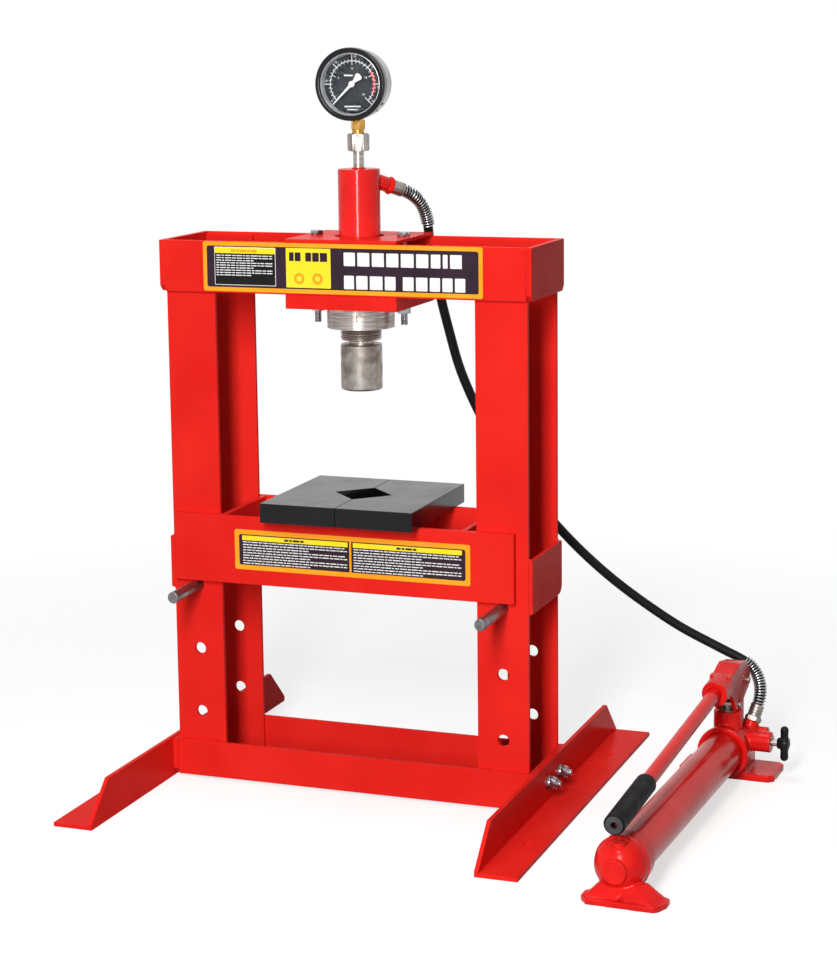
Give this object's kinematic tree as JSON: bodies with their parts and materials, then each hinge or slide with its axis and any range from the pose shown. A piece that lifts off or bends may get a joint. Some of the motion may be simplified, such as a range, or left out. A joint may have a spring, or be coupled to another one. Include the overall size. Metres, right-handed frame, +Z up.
{
  "type": "hydraulic press",
  "caption": "Bench shop press: bar frame on angle feet, pinned bed with arbor plates, hydraulic ram with a gauge, and a hand pump on a hose.",
  "frame": {"origin": "floor level under the ram's axis, at the middle of the four floor bolt holes", "axes": "+Z up along the ram's axis, -Y towards the operator at the press's front, +X to the right, where the pump stands"},
  "size_m": [0.9319, 0.7189, 1.0715],
  "materials": {
    "red_paint": "glossy paint",
    "zinc": "zinc plated",
    "pin_steel": "satin",
    "black_iron": "glossy paint",
    "bright_steel": "machined",
    "spring_steel": "satin",
    "bronze": "machined",
    "brass": "satin",
    "seal_rubber": "matte",
    "stainless": "polished",
    "black_enamel": "glossy paint",
    "dial_enamel": "matte",
    "glass": "clear",
    "white_enamel": "matte",
    "hose_rubber": "satin",
    "grip_rubber": "matte",
    "black_plastic": "satin"
  },
  "bodies": {
    "frame": {"front_left_upright": "red_paint", "front_right_upright": "red_paint", "back_left_upright": "red_paint", "back_right_upright": "red_paint", "head_front_plate": "red_paint", "head_back_plate": "red_paint", "head_end_plates": "red_paint", "base_front_plate": "red_paint", "base_back_plate": "red_paint", "base_end_plates": "red_paint", "tie_plates": "red_paint", "left_foot": "red_paint", "right_foot": "red_paint", "foot_bolts": "zinc", "foot_nuts": "zinc", "clamp_top_plate": "red_paint", "clamp_bottom_plate": "red_paint", "clamp_bolts": "zinc", "clamp_nuts": "zinc", "ram_cylinder": "red_paint", "ring_nut": "bright_steel", "gland": "bronze", "gauge_tube": "bright_steel", "gauge_adapter": "bright_steel", "gauge_stem": "brass", "gauge_case": "stainless", "gauge_bezel": "black_enamel", "gauge_dial": "dial_enamel", "gauge_lens": "glass", "ram_port_fitting": "red_paint", "hose_ferrules": "bright_steel", "hose_guards": "spring_steel", "hose": "hose_rubber", "pump_port_fitting": "bright_steel", "pump_tank": "red_paint", "pump_front_cap": "red_paint", "filler_plug": "red_paint", "pump_head": "red_paint", "plunger_gland": "bright_steel", "pivot_pin": "bright_steel"},
    "left_pin": {"left_bed_pin": "pin_steel"},
    "right_pin": {"right_bed_pin": "pin_steel"},
    "bed": {"bed_front_plate": "red_paint", "bed_back_plate": "red_paint", "bed_cross_plates": "red_paint", "left_arbor_plate": "black_iron", "right_arbor_plate": "black_iron"},
    "ram": {"piston_rod": "bright_steel", "piston_seal": "seal_rubber", "return_spring": "bright_steel", "ram_head": "bright_steel"},
    "pointer": {"gauge_pointer": "white_enamel"},
    "handle": {"handle_bracket": "red_paint", "pump_handle": "red_paint", "handle_grip": "grip_rubber"},
    "plunger": {"pump_plunger": "bright_steel", "plunger_pin": "bright_steel"},
    "valve": {"valve_stem": "bright_steel", "valve_knob": "black_plastic"}
  },
  "joints": [
    {"name": "ram_slide", "type": "slide", "parent": "frame", "child": "ram", "axis": [0, 0, -1], "range_m": [0, 0.13], "stiffness_N_per_m": 800, "springref_m": -0.1, "deforming": ["return_spring"]},
    {"name": "bed_lift", "type": "slide", "parent": "frame", "child": "bed", "axis": [0, 0, 1], "range_m": [0, 0.02]},
    {"name": "left_pin_pull", "type": "slide", "parent": "frame", "child": "left_pin", "axis": [0, -1, 0], "range_m": [0, 0.15]},
    {"name": "right_pin_pull", "type": "slide", "parent": "frame", "child": "right_pin", "axis": [0, -1, 0], "range_m": [0, 0.14]},
    {"name": "pointer_turn", "type": "hinge", "parent": "frame", "child": "pointer", "pos_m": [0.00192, -0.02743, 1.0205], "axis": [-0.0698, 0.9976, 0], "range_deg": [0, 270], "stiffness_Nm_per_rad": 0.0005},
    {"name": "handle_swing", "type": "hinge", "parent": "frame", "child": "handle", "pos_m": [0.50196, 0.23365, 0.134], "axis": [-0.9994, 0.0349, 0], "range_deg": [0, 50]},
    {"name": "plunger_lift", "type": "slide", "parent": "frame", "child": "plunger", "axis": [0, 0, 1], "range_m": [0, 0.04756]},
    {"name": "valve_turn", "type": "hinge", "parent": "frame", "child": "valve", "pos_m": [0.57252, 0.19116, 0.054], "axis": [0.9994, -0.0349, 0], "range_deg": [0, 180]}
  ],
  "couplings": [
    {"joint": "plunger_lift", "follows": "handle_swing", "m_per_rad": 0.054504}
  ]
}
